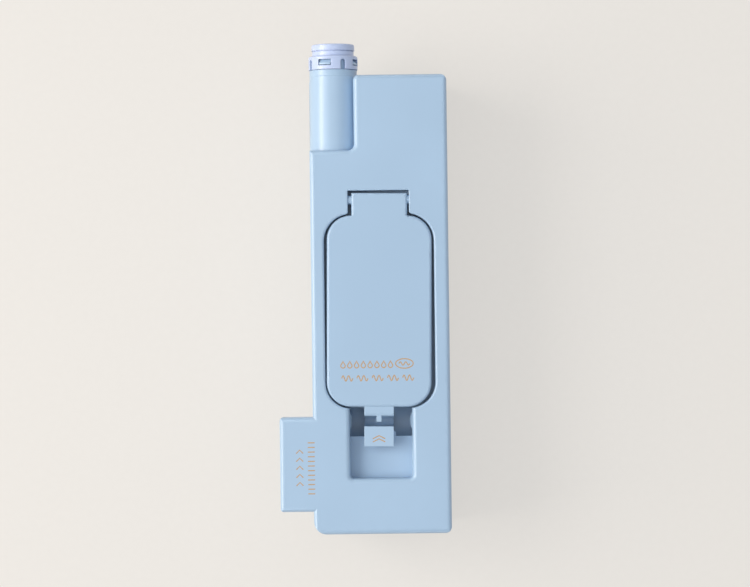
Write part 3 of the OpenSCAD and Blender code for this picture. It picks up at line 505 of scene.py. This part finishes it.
def coil_tree():
    """A node tree for a compression spring along +Y whose end turns lie closed."""
    sockets = {"Turns": "Float", "Coil Radius": "Float", "Wire Radius": "Float"}
    sockets |= {"Length": "Float", "Place": "Vector", "Material": "Material"}
    tree, given = start_tree("spring_coil", sockets)
    turns, wire_radius = given["Turns"], given["Wire Radius"]
    closed = maths(tree, "MULTIPLY", wire_radius, END_RISE)
    free_turns = maths(tree, "SUBTRACT", turns, 2.0)
    rise = maths(tree, "SUBTRACT", given["Length"], maths(tree, "MULTIPLY", closed, 2.0))
    rise = maths(tree, "SUBTRACT", rise, maths(tree, "MULTIPLY", wire_radius, 2.0))
    pitch = maths(tree, "DIVIDE", rise, free_turns)
    line = add_node(tree, "GeometryNodeCurvePrimitiveLine").outputs[0]
    count = maths(tree, "MULTIPLY", turns, STEPS_PER_TURN)
    curve = add_node(tree, "GeometryNodeResampleCurve", {"Curve": line, "Count": count}).outputs[0]
    factor = add_node(tree, "GeometryNodeSplineParameter").outputs["Factor"]
    turn = maths(tree, "MULTIPLY", factor, turns)
    angle = maths(tree, "MULTIPLY", turn, 2 * math.pi)
    # The first turn rises by the closed rise, the ones between by the pitch, and the last by the closed rise.
    first = maths(tree, "MULTIPLY", maths(tree, "MINIMUM", turn, 1.0), closed)
    past_first = maths(tree, "SUBTRACT", turn, 1.0)
    middle_turns = maths(tree, "MINIMUM", maths(tree, "MAXIMUM", past_first, 0.0), free_turns)
    middle = maths(tree, "MULTIPLY", middle_turns, pitch)
    last_turn = maths(tree, "MAXIMUM", maths(tree, "SUBTRACT", past_first, free_turns), 0.0)
    last = maths(tree, "MULTIPLY", last_turn, closed)
    ends = maths(tree, "ADD", last, wire_radius)
    along = maths(tree, "ADD", maths(tree, "ADD", first, middle), ends)
    across = maths(tree, "MULTIPLY", maths(tree, "COSINE", angle), given["Coil Radius"])
    up = maths(tree, "MULTIPLY", maths(tree, "SINE", angle), given["Coil Radius"])
    spot = add_node(tree, "ShaderNodeCombineXYZ", {0: across, 1: along, 2: up}).outputs[0]
    moved = add_node(tree, "ShaderNodeVectorMath", {0: spot, 1: given["Place"]}, operation="ADD").outputs[0]
    helix = add_node(tree, "GeometryNodeSetPosition", {"Geometry": curve, "Position": moved}).outputs[0]
    section_inputs = {"Resolution": 12, "Radius": wire_radius}
    section = add_node(tree, "GeometryNodeCurvePrimitiveCircle", section_inputs).outputs[0]
    wire = add_node(tree, "GeometryNodeCurveToMesh", {0: helix, 1: section, "Fill Caps": True}).outputs[0]
    end_tree(tree, wire, given["Material"])
    return tree


def dress(node, name, body, slot, materials, crease, before_shading=None):
    """Replaces one CAD node by a welded, smoothly shaded copy with its finish."""
    piece = welded_copy(node, name)
    piece.data.materials.append(materials[slot])
    if before_shading:
        before_shading(piece)
    smooth(piece, crease)
    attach(piece, body)
    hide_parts(node)
    return piece


class DispenserFinish(bpy.types.PropertyGroup):
    blue: FloatVectorProperty(
        name="Blue", description="Colour of the shells and the lid",
        subtype="COLOR", size=3, default=(0.372, 0.517, 0.685), min=0, max=1,
    )
    lavender: FloatVectorProperty(
        name="Lavender", description="Colour of the valve cap",
        subtype="COLOR", size=3, default=(0.49, 0.58, 0.81), min=0, max=1,
    )
    white: FloatVectorProperty(
        name="White", description="Colour of the inner plastic pieces",
        subtype="COLOR", size=3, default=(0.82, 0.84, 0.84), min=0, max=1,
    )
    rubber: FloatVectorProperty(
        name="Rubber", description="Colour of the seals",
        subtype="COLOR", size=3, default=(0.1, 0.11, 0.12), min=0, max=1,
    )
    steel: FloatVectorProperty(
        name="Steel", description="Colour of the spring's wire",
        subtype="COLOR", size=3, default=(0.6, 0.61, 0.63), min=0, max=1,
    )
    ink: FloatVectorProperty(
        name="Ink", description="Colour of the printed marks",
        subtype="COLOR", size=3, default=(0.47, 0.31, 0.17), min=0, max=1,
    )
    flow_size: FloatProperty(
        name="Flow Size", description="Width of one band of the melt's flow",
        unit="LENGTH", default=45 * MM, min=5 * MM, max=200 * MM,
    )
    mottle_size: FloatProperty(
        name="Mottle Size", description="Width of one patch of the mottle",
        unit="LENGTH", default=6 * MM, min=1 * MM, max=50 * MM,
    )
    grain_size: FloatProperty(
        name="Grain Size", description="Width of one fleck of the mould's grain",
        unit="LENGTH", default=0.28 * MM, min=0.05 * MM, max=1 * MM,
    )
    grain_depth: FloatProperty(
        name="Grain Depth", description="Depth of the mould's grain",
        unit="LENGTH", default=0.01 * MM, min=0, max=0.2 * MM,
    )
    edge_softness: FloatProperty(
        name="Edge Softness", description="Radius of the shading on edges that are modelled sharp",
        unit="LENGTH", default=0.4 * MM, min=0, max=1 * MM,
    )
    gloss: FloatProperty(
        name="Gloss", description="Strength of the plastic's reflections",
        subtype="FACTOR", default=0.9, min=0, max=1,
    )
    edge_rub: FloatProperty(
        name="Edge Rub", description="How much paler the rubbed edges are",
        subtype="FACTOR", default=0.35, min=0, max=1,
    )


class DispenserShape(bpy.types.PropertyGroup):
    crease: FloatProperty(
        name="Crease", description="Faces that meet at more than this angle stay sharp",
        subtype="ANGLE", default=math.radians(24), min=math.radians(18), max=math.radians(60),
    )
    spring_turns: FloatProperty(
        name="Spring Turns", description="Turns of the valve spring, closed ends included",
        default=7, min=4, max=12,
    )
    spring_wire: FloatProperty(
        name="Spring Wire", description="Radius of the valve spring's wire",
        unit="LENGTH", default=0.35 * MM, min=0.2 * MM, max=0.6 * MM,
    )


class DispenserMarks(bpy.types.PropertyGroup):
    height: FloatProperty(
        name="Mark Height", description="Height of one printed mark",
        unit="LENGTH", default=2.9 * MM, min=1 * MM, max=4 * MM,
    )
    stroke: FloatProperty(
        name="Mark Stroke", description="Width of the printed lines",
        unit="LENGTH", default=0.48 * MM, min=0.2 * MM, max=1 * MM,
    )


class DispenserStage(bpy.types.PropertyGroup):
    camera_height: FloatProperty(
        name="Camera Height", description="Height of the camera above the table",
        unit="LENGTH", default=1.275, min=0.5, max=3,
    )
    camera_x: FloatProperty(
        name="Camera X", description="Where the camera's axis meets the table, across the body",
        unit="LENGTH", default=-2.17 * MM, min=-0.1, max=0.1,
    )
    camera_y: FloatProperty(
        name="Camera Y", description="Where the camera's axis meets the table, along the body",
        unit="LENGTH", default=4.55 * MM, min=-0.1, max=0.1,
    )
    camera_turn: FloatProperty(
        name="Camera Turn", description="Turn of the picture about the camera's axis",
        subtype="ANGLE", default=math.radians(-0.73), min=-math.pi, max=math.pi,
    )
    view_width: FloatProperty(
        name="View Width", description="Width of the table that the picture takes in",
        unit="LENGTH", default=332.4 * MM, min=0.1, max=1,
    )
    paper: FloatVectorProperty(
        name="Paper", description="Colour of the floor",
        subtype="COLOR", size=3, default=(0.8, 0.77, 0.73), min=0, max=1,
    )
    ceiling: FloatVectorProperty(
        name="Ceiling", description="Colour of the ceiling that glossy pieces mirror",
        subtype="COLOR", size=3, default=(0.12, 0.13, 0.14), min=0, max=1,
    )
    evenness: FloatProperty(
        name="Evenness", description="How far the picture evens out the light on the floor",
        subtype="FACTOR", default=0.72, min=0, max=1,
    )
    room_light: FloatProperty(
        name="Room Light", description="Strength of the light from all round",
        default=0.42, min=0, max=1,
    )
    roof_power: FloatProperty(
        name="Roof Power", description="Power of the broad lamp overhead",
        unit="POWER", default=8.5, min=0, max=100,
    )
    key_power: FloatProperty(
        name="Key Power", description="Power of the lamp on the left that glossy pieces mirror",
        unit="POWER", default=5.2, min=0, max=100,
    )
    high_key_power: FloatProperty(
        name="High Key Power", description="Power of the lamp above the key lamp",
        unit="POWER", default=9.8, min=0, max=100,
    )


class DISPENSER_OT_shells(bpy.types.Operator):
    """Make the tank and the cover, with the lift tab's print"""

    bl_idname = "dispenser.shells"
    bl_label = "Shells"

    def execute(self, context):
        materials = finishes(context)
        crease = context.scene.dispenser_shape.crease
        marks = context.scene.dispenser_marks
        top = CAD_BOX[1].z

        def print_tab(piece):
            imprint(piece, top, tab_marks(marks), materials["print_ink"])

        dress("tank", "tank_shell", "shells", "blue_plastic", materials, crease)
        dress("top_cover", "cover_shell", "shells", "blue_plastic", materials, crease, print_tab)
        return {"FINISHED"}


class DISPENSER_OT_lid(bpy.types.Operator):
    """Make the fill lid with its print, and its gasket"""

    bl_idname = "dispenser.lid"
    bl_label = "Fill Lid"

    def execute(self, context):
        materials = finishes(context)
        crease = context.scene.dispenser_shape.crease
        marks = context.scene.dispenser_marks
        top = CAD_BOX[1].z

        def print_lid(piece):
            imprint(piece, top, lid_marks(marks), materials["print_ink"])
            imprint(piece, THUMB_TOP, thumb_marks(marks), materials["print_ink"])

        dress("fill_lid", "lid_moulding", "lid", "blue_plastic", materials, crease, print_lid)
        dress("lid_gasket", "gasket_ring", "lid", "grey_rubber", materials, crease)
        return {"FINISHED"}


class DISPENSER_OT_valve(bpy.types.Operator):
    """Make the valve cap, the poppet, their seals and the spring"""

    bl_idname = "dispenser.valve"
    bl_label = "Valve"

    def execute(self, context):
        materials = finishes(context)
        shape = context.scene.dispenser_shape
        crease = shape.crease
        dress("valve_cap", "cap_moulding", "shells", "lavender_plastic", materials, crease)
        dress("cap_seal", "cap_washer", "shells", "grey_rubber", materials, crease)
        dress("valve_poppet", "poppet_stem", "poppet", "white_plastic", materials, crease)
        dress("poppet_seal", "poppet_washer", "poppet", "grey_rubber", materials, crease)
        low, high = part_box("valve_spring")
        values = {
            "Turns": shape.spring_turns,
            "Coil Radius": (high.x - low.x) / 2 - shape.spring_wire,
            "Wire Radius": shape.spring_wire,
            "Length": high.y - low.y,
            "Place": ((low.x + high.x) / 2, low.y, (low.z + high.z) / 2),
            "Material": materials["spring_steel"],
        }
        coil = place_piece(run_tree(coil_tree(), "spring_coil", values), "spring_coil")
        smooth(coil, COIL_CREASE)
        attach(coil, "shells")
        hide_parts("valve_spring")
        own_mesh(coil)
        return {"FINISHED"}


class DISPENSER_OT_inner(bpy.types.Operator):
    """Make the pickup pieces and the vent valve"""

    bl_idname = "dispenser.inner"
    bl_label = "Inner Pieces"

    def execute(self, context):
        materials = finishes(context)
        crease = context.scene.dispenser_shape.crease
        dress("pickup_elbow", "elbow_moulding", "shells", "white_plastic", materials, crease)
        dress("elbow_seal", "elbow_ring", "shells", "grey_rubber", materials, crease)
        dress("pickup_tube", "dip_tube", "shells", "white_plastic", materials, crease)
        dress("pickup_strainer", "strainer_basket", "shells", "white_plastic", materials, crease)
        dress("vent_valve", "vent_umbrella", "shells", "grey_rubber", materials, crease)
        return {"FINISHED"}


def soft_lamp(name, place, size, power, colour, mirrored=True):
    """A rectangular lamp that faces the body, and that glossy pieces mirror unless told otherwise."""
    lamp = bpy.data.lights.new(name, "AREA")
    lamp.shape = "RECTANGLE"
    lamp.size, lamp.size_y = size
    lamp.energy = power
    lamp.color = colour
    holder = bpy.data.objects.new(name, lamp)
    holder.visible_glossy = mirrored
    holder.location = place
    holder.rotation_euler = (LAMP_TARGET - Vector(place)).to_track_quat("-Z", "Y").to_euler()
    bpy.context.scene.collection.objects.link(holder)


def seen_directly(tree):
    """1 where a ray comes from the camera, off a mirror or through glass."""
    path = add_node(tree, "ShaderNodeLightPath").outputs
    through = maths(tree, "MAXIMUM", path["Is Glossy Ray"], path["Is Transmission Ray"])
    return maths(tree, "MAXIMUM", path["Is Camera Ray"], through)


def room_shade(tree, walls, ceiling):
    """The room as it is seen: pale walls that darken towards the ceiling."""
    way = add_node(tree, "ShaderNodeTexCoord").outputs["Generated"]
    rise = add_node(tree, "ShaderNodeSeparateXYZ", {0: way}).outputs["Z"]
    share_inputs = {"Value": rise, "From Min": 0.3, "From Max": 0.85}
    share = add_node(tree, "ShaderNodeMapRange", share_inputs, interpolation_type="SMOOTHSTEP").outputs[0]
    return blend_colour(tree, share, tint(walls, 1.0), tint(ceiling, 1.0))


def paper_material(colour, evenness):
    """Matt pale paper with a faint tooth, whose shadows look weaker in the picture than they are."""
    material, tree, shader = new_material("paper")
    place = add_node(tree, "ShaderNodeTexCoord").outputs["Object"]
    tooth = noise(tree, place, 3 * MM, detail=3.0)
    shade = blend_colour(tree, spread(tree, tooth, 0.0, 1.0), tint(colour, 0.995), tint(colour, 1.005))
    tree.links.new(shade, shader.inputs["Base Color"])
    shader.inputs["Roughness"].default_value = 0.9
    shader.inputs["Specular IOR Level"].default_value = 0.0
    even = add_node(tree, "ShaderNodeEmission", {0: shade, 1: 1.0}).outputs[0]
    share = maths(tree, "MULTIPLY", seen_directly(tree), evenness)
    mixed = add_node(tree, "ShaderNodeMixShader", {0: share, 1: shader.outputs[0], 2: even}).outputs[0]
    output = next(node for node in tree.nodes if node.type == "OUTPUT_MATERIAL")
    tree.links.new(mixed, output.inputs["Surface"])
    return material


class DISPENSER_OT_stage(bpy.types.Operator):
    """Make the floor, the lamps, the room's light and the camera"""

    bl_idname = "dispenser.stage"
    bl_label = "Stage"

    def execute(self, context):
        scene = context.scene
        stage = scene.dispenser_stage
        floor_mesh = bpy.data.meshes.new("floor")
        corners = [(FLOOR_REACH * x, FLOOR_REACH * y) for x, y in ((-1, -1), (1, -1), (1, 1), (-1, 1))]
        floor_mesh.from_pydata([(x, y, -FLOOR_DROP) for x, y in corners], [], [(0, 1, 2, 3)])
        floor_mesh.materials.append(paper_material(stage.paper, stage.evenness))
        place_piece(floor_mesh, "floor")
        world = bpy.data.worlds.new("room")
        scene.world = world
        world.use_nodes = True
        tree = world.node_tree
        tree.nodes.clear()
        seen = seen_directly(tree)
        lit = add_node(tree, "ShaderNodeBackground", {0: SKY, 1: stage.room_light}).outputs[0]
        room = room_shade(tree, stage.paper, stage.ceiling)
        shown = add_node(tree, "ShaderNodeBackground", {0: room, 1: 1.0}).outputs[0]
        mixed = add_node(tree, "ShaderNodeMixShader", {0: seen, 1: lit, 2: shown}).outputs[0]
        add_node(tree, "ShaderNodeOutputWorld", {0: mixed})
        cool, warm, neutral = (0.97, 0.98, 1.0), (1.0, 0.88, 0.74), (1.0, 0.98, 0.95)
        soft_lamp("roof", (0, 0, 1.75), (1.8, 1.8), stage.roof_power, cool, mirrored=False)
        soft_lamp("key", (-0.95, 0.05, 0.57), (0.8, 0.4), stage.key_power, warm)
        soft_lamp("high_key", (-0.85, 0.1, 1.1), (0.9, 0.5), stage.high_key_power, neutral, mirrored=False)
        camera = bpy.data.cameras.new("camera")
        camera.sensor_width = 36
        camera.lens = camera.sensor_width * stage.camera_height / stage.view_width
        camera.clip_start, camera.clip_end = 0.05, 20
        holder = bpy.data.objects.new("camera", camera)
        holder.location = (stage.camera_x, stage.camera_y, stage.camera_height)
        holder.rotation_euler = (0, 0, stage.camera_turn)
        scene.collection.objects.link(holder)
        scene.camera = holder
        scene.view_settings.view_transform = "Standard"
        return {"FINISHED"}


STEPS = ("shells", "lid", "valve", "inner", "stage")


class DISPENSER_PT_panel(bpy.types.Panel):
    """Lists the dispenser's pieces in the sidebar"""

    bl_idname = "DISPENSER_PT_panel"
    bl_label = "Dispenser"
    bl_space_type = "VIEW_3D"
    bl_region_type = "UI"
    bl_category = "Dispenser"

    def draw(self, context):
        for step in STEPS:
            self.layout.operator("dispenser." + step)
        for group in GROUPS:
            settings = getattr(context.scene, group)
            for name in settings.__annotations__:
                self.layout.prop(settings, name)


GROUPS = {
    "dispenser_finish": DispenserFinish,
    "dispenser_shape": DispenserShape,
    "dispenser_marks": DispenserMarks,
    "dispenser_stage": DispenserStage,
}
CLASSES = (
    *GROUPS.values(),
    DISPENSER_OT_shells,
    DISPENSER_OT_lid,
    DISPENSER_OT_valve,
    DISPENSER_OT_inner,
    DISPENSER_OT_stage,
    DISPENSER_PT_panel,
)


def register():
    for one in CLASSES:
        bpy.utils.register_class(one)
    for name, group in GROUPS.items():
        setattr(bpy.types.Scene, name, PointerProperty(type=group))


def unregister():
    for name in GROUPS:
        delattr(bpy.types.Scene, name)
    for one in reversed(CLASSES):
        bpy.utils.unregister_class(one)


def main():
    """Builds the dispenser and its stage."""
    register()
    for step in STEPS:
        getattr(bpy.ops.dispenser, step)()


if __name__ == "__main__":
    main()
